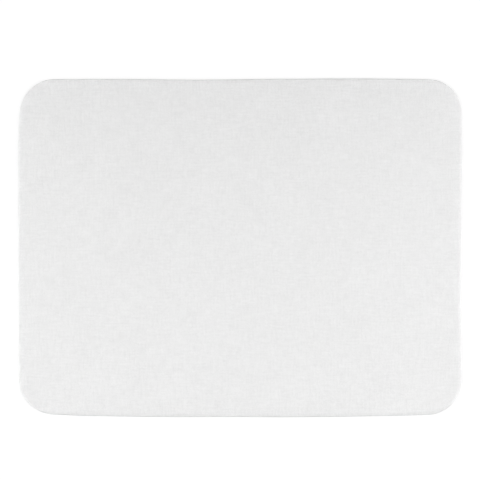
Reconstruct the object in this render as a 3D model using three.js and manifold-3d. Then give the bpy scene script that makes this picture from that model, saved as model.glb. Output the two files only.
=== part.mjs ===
// A cloth-faced mouse pad, cut by a die from a laminate of three sheets: a knitted face, a bonding
// film and a foam-rubber base with a zigzag tread moulded into its underside.
// Lengths are in millimetres and +Z is up. X runs along the pad and Y towards its back edge. The
// origin is the middle of the underside, where the tread stands on the desk.

import * as THREE from "three";
import { mergeVertices } from "three/addons/utils/BufferGeometryUtils.js";
import Module from "manifold-3d";

// Plan of the pad. The laminate relaxes once it is cut, so that its long edges swell.
const padLength = 260;
const padDepth = 198.5; // over the swell of both long edges
const cornerRadius = 20;
const frontEdgeSwell = 1.4; // past a straight line between the corners
const backEdgeSwell = 0.2;

// Rim. The die crushes it, so that all three sheets bend down together towards the cut.
const rimWidth = 2.6; // how far in from the cut the crush reaches
const rimDrop = 0.45; // how far the sheets are bent down at the cut

// Knitted face, which is also thinned towards the cut.
const clothThickness = 0.5;
const clothRimThickness = 0.17; // what is left of it at the cut

// Hot-melt film that bonds the cloth to the rubber.
const filmThickness = 0.1;

// Foam-rubber base. The foam springs back from the die, so its cut wall is hollow.
const baseThickness = 2.4; // over the tread
const cutWallHollow = 0.25;

// Tread: zigzag grooves across the underside, which run out through the cut wall.
const treadDepth = 0.4;
const treadPitch = 5; // from one groove to the next, along Y
const grooveMouth = 2; // width of a groove at the desk, along Y
const grooveFloor = 1.4;
const zigzagLeg = 13; // length of one leg, along X
const zigzagSwing = 7; // from a zigzag's crests to its troughs, along Y
const grooveOverrun = 1; // how far a groove's cutting shape hangs out below the underside

// Steps in the round stretches.
const cornerSteps = 14;
const swellSteps = 8;
const wallSteps = 4;
const rimSteps = 5;

const quarterTurn = Math.PI / 2;

const solids = await Module();
solids.setup();

/** The pad's outline, drawn in by inset from the widest cut. It is a ring of points that runs
 * anticlockwise, seen from above. */
function outline(inset) {
  const radius = cornerRadius - inset;
  const side = padLength / 2 - inset;
  const front = frontEdgeSwell - padDepth / 2 + inset;
  const back = padDepth / 2 - backEdgeSwell - inset;
  const cornerX = side - radius;
  const cornerFront = front + radius;
  const cornerBack = back - radius;
  const at = (x, y) => new THREE.Vector2(x, y);

  const corner = (x, y, turns) => {
    const start = turns * quarterTurn;
    return new THREE.EllipseCurve(x, y, radius, radius, start, start + quarterTurn).getPoints(cornerSteps);
  };
  const longEdge = (startX, y, swell) => {
    const pull = at(0, y + 2 * swell); // a quadratic curve passes halfway to its control point
    return new THREE.QuadraticBezierCurve(at(startX, y), pull, at(-startX, y)).getPoints(swellSteps);
  };

  const stretches = [
    longEdge(-cornerX, front, -frontEdgeSwell),
    corner(cornerX, cornerFront, -1),
    [at(side, cornerFront), at(side, cornerBack)],
    corner(cornerX, cornerBack, 0),
    longEdge(cornerX, back, backEdgeSwell),
    corner(-cornerX, cornerBack, 1),
    [at(-side, cornerBack), at(-side, cornerFront)],
    corner(-cornerX, cornerFront, 2),
  ];
  return stretches.flatMap((points) => points.slice(0, -1)); // each one ends where the next starts
}

/** A closed skin over rings that have the same number of points. The levels are listed as
 * { z, ring }, from a flat lid underneath, out and up round the sides, to a flat lid on top. */
function loft(levels) {
  const count = levels[0].ring.length;
  const position = levels.flatMap(({ z, ring }) => ring.flatMap((point) => [point.x, point.y, z]));
  const faces = [];
  for (let level = 1; level < levels.length; level++) {
    for (let i = 0; i < count; i++) {
      const upper = level * count + i;
      const upperNext = level * count + ((i + 1) % count);
      const lower = upper - count;
      const lowerNext = upperNext - count;
      faces.push(lower, lowerNext, upperNext);
      faces.push(lower, upperNext, upper);
    }
  }
  const topStart = (levels.length - 1) * count;
  for (const [a, b, c] of THREE.ShapeUtils.triangulateShape(levels[0].ring, [])) {
    faces.push(c, b, a);
    faces.push(topStart + a, topStart + b, topStart + c);
  }
  return new THREE.BufferGeometry()
    .setAttribute("position", new THREE.Float32BufferAttribute(position, 3))
    .setIndex(faces);
}

/** A closed geometry as a solid that can be cut. */
function solidOf(geometry) {
  const merged = mergeVertices(geometry);
  const mesh = new solids.Mesh({
    numProp: 3,
    vertProperties: merged.getAttribute("position").array,
    triVerts: new Uint32Array(merged.getIndex().array),
  });
  return new solids.Manifold(mesh);
}

/** The body's geometry with all the cutters taken out of it. */
function cut(body, cutters) {
  const result = solids.Manifold.difference([body, ...cutters].map(solidOf));
  const { vertProperties, triVerts } = result.getMesh();
  return new THREE.BufferGeometry()
    .setAttribute("position", new THREE.BufferAttribute(vertProperties, 3))
    .setIndex(new THREE.BufferAttribute(triVerts, 1));
}

/** A zigzag that crosses the pad's middle at y and runs past both of its ends. */
function zigzag(y) {
  const legs = Math.ceil(padLength / 2 / zigzagLeg) + 1;
  const points = [];
  for (let i = -legs; i < legs; i++) {
    const swing = i % 2 === 0 ? zigzagSwing / 2 : -zigzagSwing / 2;
    points.push(new THREE.Vector2((i + 1 / 2) * zigzagLeg, y + swing));
  }
  return points;
}

/** The shape that cuts the groove at y, with walls that lean in from its mouth to its floor. */
function grooveCutter(y) {
  const band = (width) => [...zigzag(y - width / 2), ...zigzag(y + width / 2).reverse()];
  return loft([
    { z: -grooveOverrun, ring: band(grooveMouth) },
    { z: 0, ring: band(grooveMouth) },
    { z: treadDepth, ring: band(grooveFloor) },
  ]);
}

/** The cutters for the whole tread, which leaves a rib through the middle of the pad. */
function treadCutters() {
  const reach = (padDepth + zigzagSwing + grooveMouth) / 2;
  const cutters = [];
  for (let y = treadPitch / 2; y < reach; y += treadPitch) {
    cutters.push(grooveCutter(y), grooveCutter(-y));
  }
  return cutters;
}

/** The levels of one face of a sheet over the rim, from the flat field out to the cut. The face is
 * flat at the given height. The cloth's face also sinks by thinning where the cloth is crushed. */
function rimLevels(height, thinning = 0) {
  const levels = [];
  for (let step = 0; step <= rimSteps; step++) {
    const angle = quarterTurn * (step / rimSteps);
    const share = Math.sin(angle);
    const sunk = rimDrop * share * share + thinning * (1 - Math.cos(angle));
    levels.push({ z: height - sunk, ring: outline(rimWidth * (1 - share)) });
  }
  return levels;
}

/** The base, with its hollow cut wall, its crushed shoulder and its tread. */
function rubberBase() {
  const wall = [];
  for (let step = 0; step < wallSteps; step++) {
    const share = step / wallSteps;
    const hollow = cutWallHollow * Math.sin(Math.PI * share);
    wall.push({ z: (baseThickness - rimDrop) * share, ring: outline(hollow) });
  }
  const shoulder = rimLevels(baseThickness).reverse();
  return cut(loft([...wall, ...shoulder]), treadCutters());
}

/** The film, cut flush with the sheets above and below it. */
function bondFilm() {
  const underside = rimLevels(0);
  const face = rimLevels(filmThickness).reverse();
  return loft([...underside, ...face]);
}

/** The cloth, whose face rolls down to the cut in a quarter of an ellipse. */
function clothFace() {
  const back = rimLevels(0);
  const face = rimLevels(clothThickness, clothThickness - clothRimThickness).reverse();
  return loft([...back, ...face]);
}

/** A named sheet of the laminate, whose underside is flat at height z. */
function sheet(name, geometry, z, color, roughness) {
  const material = new THREE.MeshStandardMaterial({ color, roughness, metalness: 0, flatShading: true });
  const mesh = new THREE.Mesh(geometry, material);
  mesh.name = name;
  mesh.position.z = z;
  return mesh;
}

const blackRubber = 0x232324;
const milkyFilm = 0xd9d6cd;
const whiteKnit = 0xebebeb;

const mousePad = new THREE.Group();
mousePad.add(
  sheet("rubber_base", rubberBase(), 0, blackRubber, 0.9),
  sheet("bond_film", bondFilm(), baseThickness, milkyFilm, 0.45),
  sheet("cloth_face", clothFace(), baseThickness + filmThickness, whiteKnit, 0.95),
);

export default mousePad;
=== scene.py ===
"""A white cloth-faced mouse pad that lies on a white table, seen from straight above.

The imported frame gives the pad's size and the heights of its three sheets: a foam-rubber base, a
bonding film and a knitted face. Each sheet is modelled here as the die leaves it, with its crushed
and rolled rim, its hollow cut wall and its tread. Lengths are in metres, +Z is up, X runs along the
pad and Y towards its back edge.
"""

import logging
import math
from abc import ABC, abstractmethod
from collections.abc import Callable, Iterator
from dataclasses import dataclass, field, replace
from enum import Enum

import bmesh
import bpy
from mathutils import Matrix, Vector, noise


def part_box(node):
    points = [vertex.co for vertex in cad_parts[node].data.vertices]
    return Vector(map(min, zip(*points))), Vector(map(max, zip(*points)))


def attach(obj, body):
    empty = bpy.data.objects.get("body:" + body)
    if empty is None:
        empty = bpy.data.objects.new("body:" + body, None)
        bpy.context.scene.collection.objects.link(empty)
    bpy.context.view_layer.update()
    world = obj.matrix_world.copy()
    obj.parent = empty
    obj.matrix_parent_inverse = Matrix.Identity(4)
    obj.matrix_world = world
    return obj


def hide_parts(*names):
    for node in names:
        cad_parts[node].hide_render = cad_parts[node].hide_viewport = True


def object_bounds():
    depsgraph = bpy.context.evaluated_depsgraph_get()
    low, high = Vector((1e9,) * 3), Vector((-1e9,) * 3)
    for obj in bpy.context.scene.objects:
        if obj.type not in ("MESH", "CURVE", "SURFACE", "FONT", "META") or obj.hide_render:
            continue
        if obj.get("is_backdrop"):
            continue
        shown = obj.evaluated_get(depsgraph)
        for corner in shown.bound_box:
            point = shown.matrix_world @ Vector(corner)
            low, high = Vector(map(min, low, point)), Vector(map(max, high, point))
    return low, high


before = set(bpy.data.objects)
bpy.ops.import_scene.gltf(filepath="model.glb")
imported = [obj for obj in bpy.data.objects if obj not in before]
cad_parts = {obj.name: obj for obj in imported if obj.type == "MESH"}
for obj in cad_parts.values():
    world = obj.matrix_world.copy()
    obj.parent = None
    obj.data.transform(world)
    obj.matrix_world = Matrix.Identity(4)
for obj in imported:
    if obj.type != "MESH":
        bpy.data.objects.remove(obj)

CAD_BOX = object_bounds()
RIM_STEPS = 6  # rings of each sheet over the crushed rim
FACE_SHRINK = 0.00012  # how far the film and the cloth end short of the rubber's long edges
WHITE = (1.0, 1.0, 1.0, 1.0)

log = logging.getLogger("mouse_pad")

Height = Callable[[Vector], float]


class Slot(Enum):
    """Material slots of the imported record."""

    KNIT = "white_knit"
    FILM = "adhesive_film"
    FOAM = "foam_rubber"


@dataclass(frozen=True)
class Pull:
    """A place near the rim where the relaxed laminate has drawn in, or crept out, a little."""

    place: tuple[float, float]
    shift: tuple[float, float]
    reach: float

    def at(self, point: Vector) -> Vector:
        """How far the pull moves a point. It fades to nothing at its reach.

        Args:
            point: A point of the pad before it relaxes.

        Returns:
            The level movement.
        """
        away = (point.xy - Vector(self.place)).length / self.reach
        fade = max(0.0, 1 - away * away) ** 2
        return Vector((*self.shift, 0)) * fade


@dataclass(frozen=True)
class PadPlan:
    """The pad's outline, as the cutting die leaves it.

    The laminate relaxes once it is cut. Its long edges swell into flat parabolas, the whole pad
    bows a little to the left, and its rim wanders by a few tenths of a millimetre.
    """

    length: float
    depth: float
    corner_radius: float = 0.020
    front_swell: float = 0.0014
    back_swell: float = 0.0002
    bow: float = 0.00055
    pulls: tuple[Pull, ...] = (
        # Three of the corners.
        Pull((-0.1235, 0.0930), (0.00070, 0.0), 0.024),
        Pull((-0.1190, -0.0940), (0.00025, 0.00050), 0.024),
        Pull((0.1235, -0.0920), (-0.00015, 0.00035), 0.024),
        # The back edge, then the front edge.
        Pull((-0.0240, 0.0990), (0.0, -0.00045), 0.050),
        Pull((0.0680, 0.0990), (0.0, 0.00030), 0.045),
        Pull((-0.0060, -0.0990), (0.0, 0.00025), 0.036),
        # The right edge, then the left edge.
        Pull((0.1295, 0.0380), (0.00040, 0.0), 0.048),
        Pull((0.1295, -0.0340), (-0.00035, 0.0), 0.026),
        Pull((-0.1300, 0.0570), (-0.00040, 0.0), 0.020),
        Pull((-0.1300, -0.0400), (0.00035, 0.0), 0.020),
    )
    corner_steps: int = 24
    swell_steps: int = 24

    @property
    def core_x(self) -> float:
        """How far the corners' centres lie from the middle, along X."""
        return self.length / 2 - self.corner_radius

    @property
    def core_front(self) -> float:
        """Y of the front corners' centres."""
        return self.front_swell - self.depth / 2 + self.corner_radius

    @property
    def core_back(self) -> float:
        """Y of the back corners' centres."""
        return self.depth / 2 - self.back_swell - self.corner_radius

    @property
    def flat_area(self) -> float:
        """The area of the rectangle round the outline, less what its round corners lack."""
        return self.length * self.depth - (4 - math.pi) * self.corner_radius**2

    def nearest_core(self, point: Vector) -> Vector:
        """The nearest point of the rectangle that joins the corners' centres.

        Args:
            point: Any point of the pad.

        Returns:
            The nearest point, at height 0.
        """
        x = min(max(point.x, -self.core_x), self.core_x)
        y = min(max(point.y, self.core_front), self.core_back)
        return Vector((x, y, 0))

    def outward(self, point: Vector) -> Vector:
        """The level direction in which a point near the rim moves away from the pad."""
        return (Vector((point.x, point.y, 0)) - self.nearest_core(point)).normalized()

    def inset_of(self, point: Vector) -> float:
        """How far a point lies inside the rim.

        Args:
            point: Any point of the pad.

        Returns:
            The distance, to within the swell of the long edges.
        """
        level = Vector((point.x, point.y, 0))
        beyond = (level - self.nearest_core(point)).length
        if beyond > 0:
            return self.corner_radius - beyond
        across = min(point.y - self.core_front, self.core_back - point.y)
        return self.corner_radius + min(self.core_x - abs(point.x), across)

    def relaxed(self, point: Vector) -> Vector:
        """How far the relaxed laminate has moved a point, by its bow and its pulls.

        Args:
            point: A point of the pad before it relaxes.

        Returns:
            The level movement.
        """
        share = min(1.0, abs(2 * point.y / self.depth))
        bowed = Vector((-self.bow * (1 - share * share), 0, 0))
        return sum((pull.at(point) for pull in self.pulls), bowed)

    def cuts(self, inset: float) -> Iterator[tuple[Vector, Vector]]:
        """The planes that trim a level sheet to the outline.

        Args:
            inset: How far the cut is drawn in from the pad's rim.

        Yields:
            A point on each plane and the plane's outward normal.
        """
        radius = self.corner_radius - inset
        half_step = math.pi / 4 / self.corner_steps
        corners = [
            (self.core_x, self.core_back),
            (-self.core_x, self.core_back),
            (-self.core_x, self.core_front),
            (self.core_x, self.core_front),
        ]
        for turns, (x, y) in enumerate(corners):
            for step in range(self.corner_steps):
                angle = turns * math.pi / 2 + (2 * step + 1) * half_step
                normal = Vector((math.cos(angle), math.sin(angle), 0))
                yield Vector((x, y, 0)) + normal * radius * math.cos(half_step), normal
        for sign in (-1, 1):
            yield Vector((sign * (self.length / 2 - inset), 0, 0)), Vector((sign, 0, 0))
        yield from self._swell_cuts(self.core_front - radius, -self.front_swell)
        yield from self._swell_cuts(self.core_back + radius, self.back_swell)

    def _swell_cuts(self, shoulder: float, swell: float) -> Iterator[tuple[Vector, Vector]]:
        """The planes along one long edge.

        Args:
            shoulder: Y of the edge's two ends.
            swell: How far the edge's middle stands past them along Y, which is negative in front.

        Yields:
            A point on each plane and the plane's outward normal.
        """

        def at(step: int) -> Vector:
            """The point of the edge at a step."""
            share = 2 * step / self.swell_steps - 1
            return Vector((share * self.core_x, shoulder + swell * (1 - share * share), 0))

        side = 1 if swell > 0 else -1
        for step in range(self.swell_steps):
            start = at(step)
            run = at(step + 1) - start
            yield start, Vector((-run.y * side, run.x * side, 0)).normalized()


@dataclass(frozen=True)
class RimRing:
    """One ring of a skin's rim: how far it is drawn in, and its height there."""

    inset: float
    height: Height

    @classmethod
    def even(cls, inset: float, height: float) -> "RimRing":
        """A ring of the same height all the way round."""
        return cls(inset, lambda _: height)


class Skin:
    """A closed mesh that grows from a level field of faces, out to the rim and round it."""

    SPARE_FACES = 2  # by which a level field outnumbers the pad's faces, each way
    TRIM_MARGIN = 0.008  # how far inside a cut a face may still be touched by it
    WELD = 0.00003  # vertices closer than this become one

    def __init__(self, plan: PadPlan, columns: int, rows: int) -> None:
        """Starts from a grid that runs from -1 to 1 both ways.

        Args:
            plan: The pad's outline.
            columns: How many faces the grid has along X.
            rows: How many faces it has along Y.
        """
        self.plan = plan
        self.bm = bmesh.new()
        bmesh.ops.create_grid(self.bm, x_segments=columns, y_segments=rows, size=1)

    @classmethod
    def level(cls, plan: PadPlan, step: float, height: float) -> "Skin":
        """Starts from a level field of square faces that reaches past the pad.

        Args:
            plan: The pad's outline.
            step: The faces' width.
            height: The field's height.

        Returns:
            The skin.
        """
        columns = round(plan.length / step) + cls.SPARE_FACES
        rows = round(plan.depth / step) + cls.SPARE_FACES
        span = Vector((columns * step / 2, rows * step / 2))
        skin = cls(plan, columns, rows)
        skin.lay_out(lambda at: Vector((at.x * span.x, at.y * span.y, height)))
        return skin

    def lay_out(self, place: Callable[[Vector], Vector]) -> None:
        """Moves every vertex of the grid to its place."""
        for vert in self.bm.verts:
            vert.co = place(vert.co)

    def trim(self, inset: float) -> None:
        """Cuts the field of faces to the outline.

        Args:
            inset: How far the cut is drawn in from the pad's rim.
        """
        limit = inset + self.TRIM_MARGIN
        near = [
            face
            for face in self.bm.faces
            if any(self.plan.inset_of(vert.co) < limit for vert in face.verts)
        ]
        edges = dict.fromkeys(edge for face in near for edge in face.edges)
        verts = dict.fromkeys(vert for face in near for vert in face.verts)
        geometry = [*near, *edges, *verts]
        for point, normal in self.plan.cuts(inset):
            geometry = bmesh.ops.bisect_plane(
                self.bm, geom=geometry, plane_co=point, plane_no=normal, clear_outer=True
            )["geom"]
        bmesh.ops.remove_doubles(self.bm, verts=self.bm.verts, dist=self.WELD)

    def grow(self, rings: list[RimRing], start_inset: float) -> None:
        """Carries the field's open edge on, ring by ring, and closes the last ring with a face.

        Args:
            rings: The rings in order.
            start_inset: Where the field was trimmed.
        """
        edges = [edge for edge in self.bm.edges if edge.is_boundary]
        inset = start_inset
        for ring in rings:
            made = bmesh.ops.extrude_edge_only(self.bm, edges=edges)["geom"]
            verts = [item for item in made if isinstance(item, bmesh.types.BMVert)]
            edges = [item for item in made if isinstance(item, bmesh.types.BMEdge)]
            for vert in verts:
                vert.co += self.plan.outward(vert.co) * (inset - ring.inset)
                vert.co.z = ring.height(vert.co)
            inset = ring.inset
        bmesh.ops.contextual_create(self.bm, geom=edges)

    def to_piece(self, name: str) -> bpy.types.Object:
        """Relaxes the skin and turns it into a smooth object at the origin.

        Args:
            name: The piece's name.

        Returns:
            The new object, linked into the scene.
        """
        bmesh.ops.recalc_face_normals(self.bm, faces=self.bm.faces)
        for vert in self.bm.verts:
            vert.co += self.plan.relaxed(vert.co)
        for face in self.bm.faces:
            face.smooth = True
        mesh = bpy.data.meshes.new(name)
        self.bm.to_mesh(mesh)
        self.bm.free()
        piece = bpy.data.objects.new(name, mesh)
        bpy.context.scene.collection.objects.link(piece)
        return piece


@dataclass(frozen=True)
class CrushedRim:
    """How the die crushes the laminate down along its rim.

    A sheet may be set back from the rubber's rim along its two long edges. It still lies on the
    rubber's slope there.
    """

    width: float = 0.0026
    drop: float = 0.00045
    set_back: float = 0.0

    def droop(self, inset: float) -> float:
        """How far the rubber is pressed down, at a distance in from its rim."""
        share = max(0.0, 1 - inset / self.width)
        return self.drop * share * share

    def ring(self, plan: PadPlan, inset: float, level: float) -> RimRing:
        """A ring of a sheet's face over the rim.

        Args:
            plan: The sheet's outline.
            inset: How far the ring is drawn in from that outline.
            level: The face's height, were the rim not pressed down.

        Returns:
            The ring.
        """

        def height(point: Vector) -> float:
            """The ring's height at a point, down the rubber's slope."""
            return level - self.droop(inset + self.set_back * abs(plan.outward(point).y))

        return RimRing(inset, height)


def steps(count: int, start: float, end: float) -> list[float]:
    """Even steps from start to end, both included."""
    return [start + (end - start) * step / count for step in range(count + 1)]


class Board:
    """Lays out the shader nodes of one material or node group."""

    def __init__(self, tree: bpy.types.NodeTree) -> None:
        """Takes the node tree that the nodes go into."""
        self.tree = tree

    def add(self, kind: str, inputs: dict | None = None, **settings: object) -> bpy.types.Node:
        """Adds a node.

        Args:
            kind: The node's type.
            inputs: Values or sockets for its inputs, by name or number.
            settings: The node's own properties.

        Returns:
            The new node.
        """
        node = self.tree.nodes.new(kind)
        for name, value in settings.items():
            setattr(node, name, value)
        for name, value in (inputs or {}).items():
            if isinstance(value, bpy.types.NodeSocket):
                self.tree.links.new(value, node.inputs[name])
            else:
                node.inputs[name].default_value = value
        return node

    def math(self, operation: str, *values: object) -> bpy.types.NodeSocket:
        """Adds a Math node on up to three values and returns its result."""
        node = self.add("ShaderNodeMath", dict(enumerate(values)), operation=operation)
        return node.outputs[0]

    def vector(self, operation: str, *values: object) -> bpy.types.NodeSocket:
        """Adds a Vector Math node on up to two vectors and returns the vector that it gives."""
        node = self.add("ShaderNodeVectorMath", dict(enumerate(values)), operation=operation)
        return node.outputs["Vector"]

    def scaled(self, vector: object, scale: object) -> bpy.types.NodeSocket:
        """Multiplies a vector by a number."""
        inputs = {0: vector, "Scale": scale}
        return self.add("ShaderNodeVectorMath", inputs, operation="SCALE").outputs["Vector"]

    def length(self, vector: object) -> bpy.types.NodeSocket:
        """Measures a vector."""
        node = self.add("ShaderNodeVectorMath", {0: vector}, operation="LENGTH")
        return node.outputs["Value"]

    def spread(
        self, value: object, low: float, high: float, to_low: float = 0.0, to_high: float = 1.0
    ) -> bpy.types.NodeSocket:
        """Eases a value from one range into another.

        Args:
            value: The value.
            low: Where the eased value is to_low.
            high: Where it is to_high. It may lie below low.
            to_low: The new range's one end.
            to_high: The new range's other end.

        Returns:
            The eased value.
        """
        inputs = {"Value": value, "From Min": low, "From Max": high}
        inputs |= {"To Min": to_low, "To Max": to_high}
        node = self.add("ShaderNodeMapRange", inputs, interpolation_type="SMOOTHSTEP")
        return node.outputs["Result"]

    def speckle(self, vector: object, scale: object, detail: float = 2.0) -> bpy.types.NodeSocket:
        """Adds a noise of the given scale and returns its value, about 0.5 on average."""
        inputs = {"Vector": vector, "Scale": scale, "Detail": detail}
        return self.add("ShaderNodeTexNoise", inputs).outputs[0]


class EffectGroup:
    """A shader node group that several materials share."""

    def __init__(self, name: str, inputs: dict[str, float], outputs: list[str]) -> None:
        """Makes the group with its sockets.

        Args:
            name: The group's name.
            inputs: Its number inputs and their defaults. A Vector input comes before them.
            outputs: Its number outputs.
        """
        self.tree = bpy.data.node_groups.new(name, "ShaderNodeTree")
        face = self.tree.interface
        face.new_socket("Vector", in_out="INPUT", socket_type="NodeSocketVector")
        for socket, default in inputs.items():
            made = face.new_socket(socket, in_out="INPUT", socket_type="NodeSocketFloat")
            made.default_value = default
        for socket in outputs:
            face.new_socket(socket, in_out="OUTPUT", socket_type="NodeSocketFloat")
        self.board = Board(self.tree)
        self.given = self.board.add("NodeGroupInput").outputs

    def give(self, results: dict[str, bpy.types.NodeSocket]) -> None:
        """Links the results to the group's outputs."""
        self.board.add("NodeGroupOutput", results)

    def place(
        self, board: Board, vector: object, **values: float
    ) -> bpy.types.bpy_prop_collection:
        """Places the group in a material.

        Args:
            board: The material's board.
            vector: The coordinates that it reads.
            values: Numbers for its inputs, with underscores for the spaces in their names.

        Returns:
            The outputs of the group's node.
        """
        inputs = {name.replace("_", " "): value for name, value in values.items()}
        inputs = {"Vector": vector} | inputs
        return board.add("ShaderNodeGroup", inputs, node_tree=self.tree).outputs


def knit_group() -> EffectGroup:
    """Plain knit: uneven columns of V-shaped loops.

    Returns:
        The group. It gives the loops' Height, a painted shade for the gaps round them and each
        loop's own Tone.
    """
    bends = 0.2  # how often a column of loops bends, per column's width
    noise_middle = (0.5, 0.5, 0.5)
    slant = 0.9  # how many courses a loop's legs climb
    foot_height, leg_height = 0.4, 0.6  # of the yarn at a loop's foot, and of its legs over that
    fullness = 0.6  # the power that rounds the yarn's back
    gap_brink = 0.3  # the height at which a gap, with its painted shade, begins

    pitches = {"Wale Pitch": 0.0006, "Course Pitch": 0.0005, "Unevenness": 0.5}
    group = EffectGroup("knit_loops", pitches, ["Height", "GapShade", "Tone"])
    board, given = group.board, group.given
    pull_scale = board.math("DIVIDE", bends, given["Wale Pitch"])
    pull_inputs = {"Vector": given["Vector"], "Scale": pull_scale}
    pull = board.add("ShaderNodeTexNoise", pull_inputs).outputs["Color"]
    slack = board.math("MULTIPLY", given["Unevenness"], given["Wale Pitch"])
    pull = board.scaled(board.vector("SUBTRACT", pull, noise_middle), slack)
    pulled = board.vector("ADD", given["Vector"], pull)
    place = board.add("ShaderNodeSeparateXYZ", {0: pulled}).outputs

    column = board.math("DIVIDE", place["X"], given["Wale Pitch"])
    across = board.math("SUBTRACT", board.math("FRACT", column), 0.5)
    off_centre = board.math("MULTIPLY", board.math("ABSOLUTE", across), 2.0)
    row = board.math("DIVIDE", place["Y"], given["Course Pitch"])
    slanted = board.math("SUBTRACT", row, board.math("MULTIPLY", off_centre, slant))
    yarn = board.math("SINE", board.math("MULTIPLY", board.math("FRACT", slanted), math.pi))
    leg = board.math("SINE", board.math("MULTIPLY", off_centre, math.pi))
    bulge = board.math("MULTIPLY_ADD", leg, leg_height, foot_height)
    height = board.math("MULTIPLY", board.math("POWER", yarn, fullness), bulge)

    cell = {0: board.math("FLOOR", column), 1: board.math("FLOOR", slanted)}
    loop = board.add("ShaderNodeCombineXYZ", cell).outputs[0]
    tone = board.add("ShaderNodeTexWhiteNoise", {"Vector": loop}, noise_dimensions="2D")
    # Painted shade: a mask that darkens the colour in the gaps between the loops.
    gap_shade = board.spread(height, gap_brink, 0.0)
    group.give({"Height": height, "GapShade": gap_shade, "Tone": tone.outputs["Value"]})
    return group


def grain_group() -> EffectGroup:
    """Irregular soft grain in three sizes.

    Returns:
        The group. Its Shade wanders about 1.
    """
    layers = ((1.0, 1.0), (0.7, 0.4), (0.5, 0.16))  # each one's weight and fineness
    group = EffectGroup("soft_grain", {"Grain Size": 0.0012, "Contrast": 0.03}, ["Shade"])
    board, given = group.board, group.given
    scale = board.math("DIVIDE", 1.0, given["Grain Size"])
    total = -sum(weight for weight, _ in layers) / 2
    for weight, fineness in layers:
        speckle = board.speckle(given["Vector"], board.math("MULTIPLY", scale, fineness), 1.0)
        total = board.math("MULTIPLY_ADD", speckle, weight, total)
    group.give({"Shade": board.math("MULTIPLY_ADD", total, given["Contrast"], 1.0)})
    return group


def streak_group() -> EffectGroup:
    """Short streaks along the rows and the columns of a knit.

    Returns:
        The group. Its Shade wanders about 1.
    """
    sizes = {"Streak Length": 0.008, "Streak Width": 0.001, "Contrast": 0.08}
    group = EffectGroup("yarn_streaks", sizes, ["Shade"])
    board, given = group.board, group.given
    along = board.math("DIVIDE", 1.0, given["Streak Length"])
    across = board.math("DIVIDE", 1.0, given["Streak Width"])
    total = -1.0  # the mean of the two noises, taken off
    for stretch in ((along, across, 1.0), (across, along, 1.0)):
        scales = board.add("ShaderNodeCombineXYZ", dict(enumerate(stretch))).outputs[0]
        stretched = board.vector("MULTIPLY", given["Vector"], scales)
        total = board.math("ADD", board.speckle(stretched, 1.0, 1.0), total)
    group.give({"Shade": board.math("MULTIPLY_ADD", total, given["Contrast"], 1.0)})
    return group


def mottle_group() -> EffectGroup:
    """Slow, soft blotches that darken a surface.

    Returns:
        The group. Its Shade is 1 where there is no blotch.
    """
    rim, middle = 0.35, 0.7  # of a blotch, as values of the noise
    group = EffectGroup("soft_mottle", {"Blotch Size": 0.02, "Depth": 0.02}, ["Shade"])
    board, given = group.board, group.given
    blotch = board.speckle(given["Vector"], board.math("DIVIDE", 1.0, given["Blotch Size"]))
    dark = board.math("MULTIPLY", board.spread(blotch, rim, middle), given["Depth"])
    group.give({"Shade": board.math("SUBTRACT", 1.0, dark)})
    return group


def pore_group() -> EffectGroup:
    """Open pores of cut foam.

    Returns:
        The group. It gives the Pits and the Height of the walls between them.
    """
    floor, wall = 0.15, 0.6  # of a pore, as distances from its middle in pore sizes
    group = EffectGroup("foam_pores", {"Pore Size": 0.0004}, ["Pits", "Height"])
    board, given = group.board, group.given
    scale = board.math("DIVIDE", 1.0, given["Pore Size"])
    inputs = {"Vector": given["Vector"], "Scale": scale}
    cell = board.add("ShaderNodeTexVoronoi", inputs, feature="F1")
    depth = board.spread(cell.outputs["Distance"], floor, wall)
    group.give({"Pits": board.math("SUBTRACT", 1.0, depth), "Height": depth})
    return group


@dataclass(frozen=True)
class Effects:
    """The shared node groups, each built once."""

    knit: EffectGroup = field(default_factory=knit_group)
    grain: EffectGroup = field(default_factory=grain_group)
    streaks: EffectGroup = field(default_factory=streak_group)
    mottle: EffectGroup = field(default_factory=mottle_group)
    pores: EffectGroup = field(default_factory=pore_group)


class Shading:
    """A material under construction: its board, its coordinates and its shader."""

    def __init__(self, name: str, settings: dict[str, float]) -> None:
        """Starts a material.

        Args:
            name: The material's name.
            settings: The shader's numbers that are the same all over the surface.
        """
        self.material = bpy.data.materials.new(name)
        self.material.use_nodes = True
        self.material.node_tree.nodes.clear()
        self.board = Board(self.material.node_tree)
        self.place = self.board.add("ShaderNodeTexCoord").outputs["Object"]
        self.shader = self.board.add("ShaderNodeBsdfPrincipled", settings)
        self.board.add("ShaderNodeOutputMaterial", {"Surface": self.shader.outputs[0]})

    def link(self, socket: str, value: bpy.types.NodeSocket) -> None:
        """Feeds one of the shader's inputs."""
        self.board.tree.links.new(value, self.shader.inputs[socket])

    def tint(self, color: tuple[float, float, float], *shades: bpy.types.NodeSocket) -> None:
        """Sets the base colour.

        Args:
            color: The colour, before it is shaded.
            shades: Factors that darken or lighten it from place to place.
        """
        shade = shades[0]
        for other in shades[1:]:
            shade = self.board.math("MULTIPLY", shade, other)
        self.link("Base Color", self.board.scaled(color, shade))

    def bump(self, height: bpy.types.NodeSocket, distance: float) -> None:
        """Bumps the surface.

        Args:
            height: The relief.
            distance: How high a relief of 1 stands.
        """
        inputs = {"Height": height, "Distance": distance}
        self.link("Normal", self.board.add("ShaderNodeBump", inputs).outputs["Normal"])


class Finish(ABC):
    """How the surface of a sheet looks."""

    @abstractmethod
    def material(self, effects: Effects) -> bpy.types.Material:
        """Builds the finish's material.

        Args:
            effects: The shared node groups.

        Returns:
            The material.
        """


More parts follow.
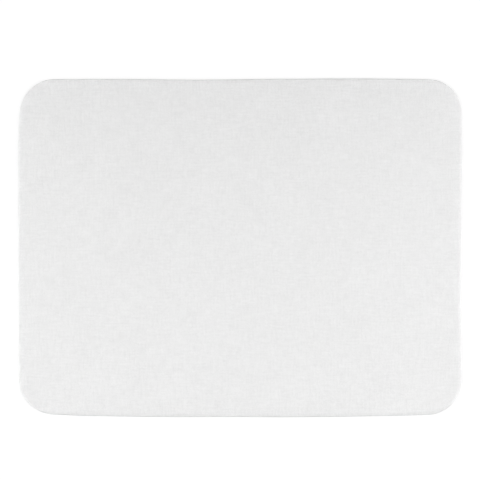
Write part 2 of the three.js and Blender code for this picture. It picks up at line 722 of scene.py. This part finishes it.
@dataclass(frozen=True)
class KnitFinish(Finish):
    """Bleached polyester knit, smooth and even, with a little sheen."""

    color: tuple[float, float, float] = (0.883, 0.883, 0.883)
    roughness: float = 0.9
    sheen: float = 0.15
    sheen_roughness: float = 0.5
    specular: float = 0.25
    wale_pitch: float = 0.00056
    course_pitch: float = 0.00046
    loop_relief: float = 0.00007
    loop_contrast: float = 0.05
    # how much darker the gaps between the loops are painted, as painted shade
    gap_shade_depth: float = 0.2
    grain_size: float = 0.0016
    grain_contrast: float = 0.03
    streak_length: float = 0.008
    streak_width: float = 0.00095
    streak_contrast: float = 0.09
    blotch_size: float = 0.022
    blotch_depth: float = 0.01

    def material(self, effects: Effects) -> bpy.types.Material:
        """Builds the cloth's material.

        Args:
            effects: The shared node groups.

        Returns:
            The material.
        """
        settings = {
            "Roughness": self.roughness,
            "Sheen Weight": self.sheen,
            "Sheen Roughness": self.sheen_roughness,
            "Specular IOR Level": self.specular,
        }
        shading = Shading("white_knit", settings)
        board, place = shading.board, shading.place
        knit = effects.knit.place(
            board, place, Wale_Pitch=self.wale_pitch, Course_Pitch=self.course_pitch
        )
        grain = effects.grain.place(
            board, place, Grain_Size=self.grain_size, Contrast=self.grain_contrast
        )
        streaks = effects.streaks.place(
            board,
            place,
            Streak_Length=self.streak_length,
            Streak_Width=self.streak_width,
            Contrast=self.streak_contrast,
        )
        mottle = effects.mottle.place(
            board, place, Blotch_Size=self.blotch_size, Depth=self.blotch_depth
        )
        darkest_loop = 1 - self.loop_contrast / 2
        loops = board.math("MULTIPLY_ADD", knit["Tone"], self.loop_contrast, darkest_loop)
        # Painted shade: the colour is darkened in the gaps between the loops.
        hollow = board.math("MULTIPLY_ADD", knit["GapShade"], -self.gap_shade_depth, 1.0)
        shades = (loops, hollow, grain["Shade"], streaks["Shade"], mottle["Shade"])
        shading.tint(self.color, *shades)
        shading.bump(knit["Height"], self.loop_relief)
        return shading.material


@dataclass(frozen=True)
class FilmFinish(Finish):
    """Milky hot-melt film."""

    color: tuple[float, float, float] = (0.62, 0.60, 0.55)
    roughness: float = 0.45
    blotch_size: float = 0.003
    blotch_depth: float = 0.25
    bubble_size: float = 0.0003
    bubble_relief: float = 0.00002

    def material(self, effects: Effects) -> bpy.types.Material:
        """Builds the film's material.

        Args:
            effects: The shared node groups.

        Returns:
            The material.
        """
        shading = Shading("milky_film", {"Roughness": self.roughness})
        board, place = shading.board, shading.place
        mottle = effects.mottle.place(
            board, place, Blotch_Size=self.blotch_size, Depth=self.blotch_depth
        )
        bubbles = effects.pores.place(board, place, Pore_Size=self.bubble_size)
        shading.tint(self.color, mottle["Shade"])
        shading.bump(bubbles["Height"], self.bubble_relief)
        return shading.material


@dataclass(frozen=True)
class FoamFinish(Finish):
    """Black foam rubber: a moulded skin that took the print of a cloth, and an open cut wall."""

    color: tuple[float, float, float] = (0.030, 0.030, 0.031)
    skin_height: float = 0.00045  # the moulded skin covers the tread, up to this height
    open_height: float = 0.00054  # the cut foam is fully open from here up
    pore_size: float = 0.00045
    pore_relief: float = 0.00012
    # how much darker the open pores are painted, as painted shade
    pit_painted_shade: float = 0.6
    print_pitch: float = 0.0009
    print_relief: float = 0.00003
    blotch_size: float = 0.03
    blotch_depth: float = 0.25
    scuff_scale: float = 900.0
    scuff_detail: float = 6.0
    scuff_rim: float = 0.5
    scuff_middle: float = 0.75
    scuff_lift: float = 1.1
    worn_height: float = 0.00006  # only what lies this close to the table is scuffed pale
    roughness: float = 0.78
    scuff_roughness: float = 0.12

    def material(self, effects: Effects) -> bpy.types.Material:
        """Builds the rubber's material.

        Args:
            effects: The shared node groups.

        Returns:
            The material.
        """
        shading = Shading("black_foam", {"Roughness": self.roughness})
        board, place = shading.board, shading.place
        height = board.add("ShaderNodeSeparateXYZ", {0: place}).outputs["Z"]
        cut = board.spread(height, self.skin_height, self.open_height)
        pores = effects.pores.place(board, place, Pore_Size=self.pore_size)
        cloth_print = effects.knit.place(
            board, place, Wale_Pitch=self.print_pitch, Course_Pitch=self.print_pitch
        )
        mottle = effects.mottle.place(
            board, place, Blotch_Size=self.blotch_size, Depth=self.blotch_depth
        )
        scuff_noise = board.speckle(place, self.scuff_scale, self.scuff_detail)
        scuffs = board.spread(scuff_noise, self.scuff_rim, self.scuff_middle)
        land = board.spread(height, self.worn_height, 0.0)
        worn_land = board.math("MULTIPLY", scuffs, land)
        worn = board.math("MULTIPLY_ADD", worn_land, self.scuff_lift, 1.0)
        # Painted shade: the colour is darkened inside the open pores of the cut wall.
        open_pits = board.math("MULTIPLY", pores["Pits"], cut)
        shaded = board.math("MULTIPLY_ADD", open_pits, -self.pit_painted_shade, 1.0)
        shading.tint(self.color, mottle["Shade"], shaded, worn)
        reliefs = {
            "Factor": cut,
            "A": board.math("MULTIPLY", cloth_print["Height"], self.print_relief),
            "B": board.math("MULTIPLY", pores["Height"], self.pore_relief),
        }
        relief = board.add("ShaderNodeMix", reliefs, data_type="FLOAT").outputs["Result"]
        shading.bump(relief, 1.0)
        roughness = board.math("MULTIPLY_ADD", scuffs, self.scuff_roughness, self.roughness)
        shading.link("Roughness", roughness)
        return shading.material


@dataclass(frozen=True, kw_only=True)
class Sheet(ABC):
    """One sheet of the laminate. It stands for a CAD node and has a finish of its own."""

    plan: PadPlan
    rim: CrushedRim
    top: float
    name: str
    node: str
    slot: Slot
    finish: Finish

    @abstractmethod
    def model(self) -> Skin:
        """Models the sheet as a closed skin."""

    def build(self, effects: Effects) -> bpy.types.Object:
        """Models the sheet and dresses it.

        Args:
            effects: The shared node groups.

        Returns:
            The finished piece.
        """
        piece = self.model().to_piece(self.name)
        self.dress(piece, effects)
        return piece

    def dress(self, piece: bpy.types.Object, effects: Effects) -> None:
        """Gives the piece its finish and ties it to the frame.

        Args:
            piece: The piece.
            effects: The shared node groups.
        """
        piece.data.materials.append(self.finish.material(effects))
        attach(piece, "root")
        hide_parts(self.node)


@dataclass(frozen=True, kw_only=True)
class KnitFace(Sheet):
    """The knitted face: a dense field of faces, a rim that rolls down to the cut, a flat back."""

    name: str = "knitted_face"
    node: str = "cloth_face"
    slot: Slot = Slot.KNIT
    finish: Finish = KnitFinish()
    underside: float
    grid_step: float = 0.002
    cut_height: float = 0.00017
    roll_steps: int = 9
    wave_height: float = 0.00004
    wave_length: float = 0.034
    wave_falloff: float = 1.0
    wave_fineness: float = 2.0
    wave_layers: int = 2
    calm_rim: float = 0.012

    def model(self) -> Skin:
        """Models the cloth.

        Returns:
            The cloth's skin.
        """
        skin = Skin.level(self.plan, self.grid_step, self.top)
        skin.trim(self.rim.width)
        for vert in skin.bm.verts:
            vert.co.z += self.wave(vert.co)
        skin.grow(self.rings(), self.rim.width)
        return skin

    def wave(self, point: Vector) -> float:
        """The slow waviness of the cloth, which dies away towards the rim.

        Args:
            point: A point of the cloth's face.

        Returns:
            How far it stands above the flat face.
        """
        calm = (self.plan.inset_of(point) - self.rim.width) / self.calm_rim
        swell = noise.fractal(
            point / self.wave_length, self.wave_falloff, self.wave_fineness, self.wave_layers
        )
        return min(1.0, max(0.0, calm)) * self.wave_height * swell

    def rings(self) -> list[RimRing]:
        """The roll from the flat top down to the cut, then the cloth's own back.

        Returns:
            The rings in order.
        """
        crushed = self.top - self.underside - self.cut_height
        rings = []
        for angle in steps(self.roll_steps, 0, math.pi / 2)[1:]:
            inset = self.rim.width * (1 - math.sin(angle))
            level = self.top - crushed * (1 - math.cos(angle))
            rings.append(self.rim.ring(self.plan, inset, level))
        for inset in steps(RIM_STEPS, 0, self.rim.width):
            rings.append(self.rim.ring(self.plan, inset, self.underside))
        return rings


@dataclass(frozen=True, kw_only=True)
class BondFilm(Sheet):
    """The film, flat under the cloth and pressed down with it along the rim."""

    name: str = "bonding_film"
    node: str = "bond_film"
    slot: Slot = Slot.FILM
    finish: Finish = FilmFinish()
    underside: float
    grid_step: float = 0.004

    def model(self) -> Skin:
        """Models the film.

        Returns:
            The film's skin.
        """
        skin = Skin.level(self.plan, self.grid_step, self.top)
        skin.trim(self.rim.width)
        insets = steps(RIM_STEPS, self.rim.width, 0)
        rings = [self.rim.ring(self.plan, inset, self.top) for inset in insets[1:]]
        rings += [self.rim.ring(self.plan, inset, self.underside) for inset in reversed(insets)]
        skin.grow(rings, self.rim.width)
        return skin


@dataclass(frozen=True, kw_only=True)
class FoamBase(Sheet):
    """The foam-rubber base: a zigzag tread underneath, a hollow cut wall, a pressed shoulder."""

    name: str = "foam_base"
    node: str = "rubber_base"
    slot: Slot = Slot.FOAM
    finish: Finish = FoamFinish()
    tread_depth: float = 0.0004
    tread_pitch: float = 0.005
    groove_mouth: float = 0.002
    groove_floor: float = 0.0014
    edge_round: float = 0.00015  # of a groove's edge, over the flat beside it
    edge_lean: float = 0.00005  # of a groove's edge, down its leaning wall
    edge_share: float = 0.12  # of the tread's depth, which each rounded edge takes up
    zigzag_leg: float = 0.013
    zigzag_swing: float = 0.007
    bend_round: float = 0.0014
    bend_steps: int = 4
    wall_foot: float = 1.5  # where the wall starts, in depths of the tread
    wall_hollow: float = 0.00025
    wall_steps: int = 7

    def model(self) -> Skin:
        """Models the base.

        Returns:
            The base's skin.
        """
        across = self.profile()
        along = self.columns()
        skin = Skin(self.plan, len(along) - 1, len(across) - 1)

        def place(at: Vector) -> Vector:
            """Lays a vertex of the grid on the tread.

            Args:
                at: Its place in the grid.

            Returns:
                Its place on the tread.
            """
            x = along[round((at.x + 1) / 2 * (len(along) - 1))]
            y, z = across[round((at.y + 1) / 2 * (len(across) - 1))]
            return Vector((x, y + self.zigzag(x), z))

        skin.lay_out(place)
        skin.trim(0)
        skin.grow(self.rings(), 0)
        return skin

    def profile(self) -> list[tuple[float, float]]:
        """The tread's section across the pad.

        Returns:
            Distances along Y with their heights.
        """
        deep = self.tread_depth
        half = [
            (self.groove_floor / 2 - self.edge_round, deep),
            (self.groove_floor / 2 + self.edge_lean, deep * (1 - self.edge_share)),
            (self.groove_mouth / 2 - self.edge_lean, deep * self.edge_share),
            (self.groove_mouth / 2 + self.edge_round, 0.0),
        ]
        section = [(-y, z) for y, z in reversed(half)] + half
        reach = (self.plan.depth + self.zigzag_swing) / 2 + self.tread_pitch
        grooves = math.ceil(reach / self.tread_pitch)
        centres = [(groove + 0.5) * self.tread_pitch for groove in range(-grooves, grooves)]
        return [(centre + y, z) for centre in centres for y, z in section]

    def columns(self) -> list[float]:
        """Where the tread has its columns of vertices, close together round each bend.

        Returns:
            Distances along X.
        """
        legs = math.ceil(self.plan.length / 2 / self.zigzag_leg) + 1
        bends = [(leg + 0.5) * self.zigzag_leg for leg in range(-legs, legs)]
        round_bend = steps(self.bend_steps, -self.bend_round, self.bend_round)
        middle = self.zigzag_leg / 2
        return [bend + off for bend in bends for off in [*round_bend, middle]]

    def zigzag(self, x: float) -> float:
        """How far the grooves swing from their centre lines, with each bend rounded.

        Args:
            x: A distance along the pad.

        Returns:
            The swing along Y.
        """
        leg = x / self.zigzag_leg
        bend = math.floor(leg)
        off = abs(leg - bend - 0.5) * self.zigzag_leg
        slope = self.zigzag_swing / self.zigzag_leg
        if off < self.bend_round:
            off = (off * off / self.bend_round + self.bend_round) / 2
        side = 1 if bend % 2 == 0 else -1
        return side * (self.zigzag_swing / 2 - slope * off)

    def rings(self) -> list[RimRing]:
        """The hollow cut wall, then the shoulder under the film.

        Returns:
            The rings in order.
        """
        foot = self.wall_foot * self.tread_depth
        head = self.top - self.rim.drop
        rings = []
        for height in steps(self.wall_steps, foot, head):
            hollow = self.wall_hollow * math.sin(math.pi * height / head)
            rings.append(RimRing.even(hollow, height))
        for inset in steps(RIM_STEPS, 0, self.rim.width)[1:]:
            rings.append(self.rim.ring(self.plan, inset, self.top))
        return rings


@dataclass(frozen=True)
class Softbox:
    """A rectangular lamp that looks at the pad."""

    name: str
    place: tuple[float, float, float]
    size: tuple[float, float]
    power: float

    def build(self) -> None:
        """Hangs the lamp in the scene."""
        lamp = bpy.data.lights.new(self.name, "AREA")
        lamp.shape = "RECTANGLE"
        lamp.size, lamp.size_y = self.size
        lamp.energy = self.power
        hung = bpy.data.objects.new(self.name, lamp)
        hung.location = self.place
        hung.rotation_euler = (-Vector(self.place)).to_track_quat("-Z", "Y").to_euler()
        hung.visible_camera = False
        bpy.context.scene.collection.objects.link(hung)


@dataclass(frozen=True)
class Studio:
    """A white table, a white room, soft lamps and a camera straight above the pad."""

    pixel: float = 0.0005873  # how much of the pad one pixel of the photograph shows
    frame_pixels: int = 480
    pad_centre_pixel: tuple[float, float] = (240.7, 248.15)
    lens: float = 100.0
    sensor: float = 36.0
    room_light: float = 0.16
    floor_size: float = 6.0
    floor_depth: float = 0.00005
    floor_color: float = 0.85  # as light bounces off it
    floor_seen_color: float = 0.25  # as the camera sees it, besides its own glow
    near_glow: float = 0.8  # how brightly it glows near the pad, where 1 is white
    near_reach: float = 0.2
    far_reach: float = 0.5  # from here on it glows as pure white
    window_radius: float = 0.0185  # it lets lamplight through this far beyond the pad's core
    lamps: tuple[Softbox, ...] = (
        Softbox("overhead_softbox", (0.0, -0.07, 0.7), (1.2, 0.3), 2.05),
        Softbox("front_softbox", (0.0, -0.45, 0.45), (1.1, 0.3), 1.4),
        Softbox("back_strip", (0.0, 0.95, 0.1), (1.2, 0.1), 3.35),
        Softbox("left_strip", (-0.7, 0.0, 0.09), (0.1, 1.0), 4.75),
        Softbox("right_strip", (0.7, 0.0, 0.09), (0.1, 1.0), 5.3),
        Softbox("under_softbox", (0.2, -0.3, -0.8), (0.9, 0.9), 6.0),
    )

    def build(self, plan: PadPlan) -> None:
        """Sets the stage.

        Args:
            plan: The outline of the pad that lies on the table.
        """
        self.lay_floor(plan)
        self.light_room()
        for lamp in self.lamps:
            lamp.build()
        self.set_camera()
        bpy.context.scene.view_settings.view_transform = "Standard"

    def lay_floor(self, plan: PadPlan) -> None:
        """Lays the white table a hair below the pad.

        Args:
            plan: The pad's outline.
        """
        bm = bmesh.new()
        bmesh.ops.create_grid(bm, x_segments=1, y_segments=1, size=self.floor_size / 2)
        bmesh.ops.translate(bm, verts=bm.verts, vec=(0, 0, -self.floor_depth))
        mesh = bpy.data.meshes.new("table_top")
        bm.to_mesh(mesh)
        bm.free()
        floor = bpy.data.objects.new("table_top", mesh)
        bpy.context.scene.collection.objects.link(floor)
        mesh.materials.append(self.floor_material(plan))
        floor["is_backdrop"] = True

    def floor_material(self, plan: PadPlan) -> bpy.types.Material:
        """A white table top that keeps the pad's shadow.

        Near the pad, some of its white is the light that falls on it. Farther away it shows as pure
        white. It has no underside, and lamplight passes through it under the pad, so that the tread
        can be seen and lit from below.

        Args:
            plan: The pad's outline.

        Returns:
            The material.
        """
        material = bpy.data.materials.new("white_table")
        material.use_nodes = True
        material.node_tree.nodes.clear()
        board = Board(material.node_tree)
        place = board.add("ShaderNodeTexCoord").outputs["Object"]
        path = board.add("ShaderNodeLightPath").outputs
        seen = self.seen_rays(board, path)
        change = self.floor_seen_color - self.floor_color
        color = board.math("MULTIPLY_ADD", seen, change, self.floor_color)
        matt = board.add("ShaderNodeBsdfDiffuse", {"Color": color}).outputs[0]
        away = board.length(place)
        glow = board.spread(away, self.near_reach, self.far_reach, self.near_glow, 1.0)
        strength = board.math("MULTIPLY", seen, glow)
        shine = board.add("ShaderNodeEmission", {"Strength": strength}).outputs[0]
        top = board.add("ShaderNodeAddShader", {0: matt, 1: shine}).outputs[0]
        beyond = self.beyond_core(board, place, plan)
        covered = board.math("LESS_THAN", beyond, self.window_radius)
        window = board.math("MULTIPLY", covered, path["Is Shadow Ray"])
        below = board.add("ShaderNodeNewGeometry").outputs["Backfacing"]
        gone = board.math("MAXIMUM", below, window)
        clear = board.add("ShaderNodeBsdfTransparent").outputs[0]
        both = board.add("ShaderNodeMixShader", {0: gone, 1: top, 2: clear}).outputs[0]
        board.add("ShaderNodeOutputMaterial", {"Surface": both})
        return material

    @staticmethod
    def beyond_core(board: Board, place: object, plan: PadPlan) -> bpy.types.NodeSocket:
        """How far a point lies beyond the rectangle that joins the centres of the pad's corners.

        Args:
            board: The material's board.
            place: The point.
            plan: The pad's outline.

        Returns:
            The distance.
        """
        core = (plan.core_x, plan.core_back, 1.0)
        past = board.vector("SUBTRACT", board.vector("ABSOLUTE", place), core)
        return board.length(board.vector("MAXIMUM", past, (0, 0, 0)))

    @staticmethod
    def seen_rays(board: Board, path: bpy.types.bpy_prop_collection) -> bpy.types.NodeSocket:
        """One for a ray that the camera sees straight, in gloss or through a clear surface."""
        seen = board.math("MAXIMUM", path["Is Camera Ray"], path["Is Glossy Ray"])
        return board.math("MAXIMUM", seen, path["Is Transmission Ray"])

    def light_room(self) -> None:
        """Fills the room with even white light, and shows it as pure white."""
        world = bpy.data.worlds.new("white_room")
        world.use_nodes = True
        world.node_tree.nodes.clear()
        board = Board(world.node_tree)
        seen = self.seen_rays(board, board.add("ShaderNodeLightPath").outputs)
        strength = board.math("MULTIPLY_ADD", seen, 1 - self.room_light, self.room_light)
        room = board.add("ShaderNodeBackground", {"Color": WHITE, "Strength": strength})
        board.add("ShaderNodeOutputWorld", {"Surface": room.outputs[0]})
        bpy.context.scene.world = world

    def set_camera(self) -> None:
        """Hangs the camera so that the pad falls where the photograph has it."""
        camera = bpy.data.cameras.new("camera")
        camera.lens = self.lens
        camera.sensor_width = self.sensor
        middle = self.frame_pixels / 2
        centre_x, centre_y = self.pad_centre_pixel
        width = self.frame_pixels * self.pixel
        rim_height = (CAD_BOX[0].z + CAD_BOX[1].z) / 2
        hung = bpy.data.objects.new("camera", camera)
        hung.location = (
            (middle - centre_x) * self.pixel,
            (centre_y - middle) * self.pixel,
            rim_height + width * self.lens / self.sensor,
        )
        bpy.context.scene.collection.objects.link(hung)
        bpy.context.scene.camera = hung


def write_sizes() -> None:
    """Puts the CAD model's box and the visual model's box into lists, which are not written
    anywhere.
    """
    boxes = {"cad": CAD_BOX, "visual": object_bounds()}
    lists = {name: [list(corner) for corner in box] for name, box in boxes.items()}


def main() -> None:
    """Builds the studio, then the pad from the table up."""
    logging.basicConfig(level=logging.INFO, format="%(message)s")
    base_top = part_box("rubber_base")[1].z
    film_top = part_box("bond_film")[1].z
    cloth_low, cloth_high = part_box("cloth_face")
    size = cloth_high - cloth_low
    plan = PadPlan(length=size.x, depth=size.y)
    face_plan = replace(plan, depth=plan.depth - 2 * FACE_SHRINK)
    Studio().build(plan)

    rim = CrushedRim()
    face_rim = replace(rim, set_back=FACE_SHRINK)
    effects = Effects()
    rubber = FoamBase(plan=plan, rim=rim, top=base_top)
    bond = BondFilm(plan=face_plan, rim=face_rim, top=film_top, underside=base_top)
    knit = KnitFace(plan=face_plan, rim=face_rim, top=cloth_high.z, underside=film_top)

    base = rubber.build(effects)
    film = bond.build(effects)
    cloth = knit.build(effects)
    face_plan.flat_area
    for piece in (base, film, cloth):
        log.info("%s: %d faces", piece.name, len(piece.data.polygons))
    write_sizes()


if __name__ == "__main__":
    main()
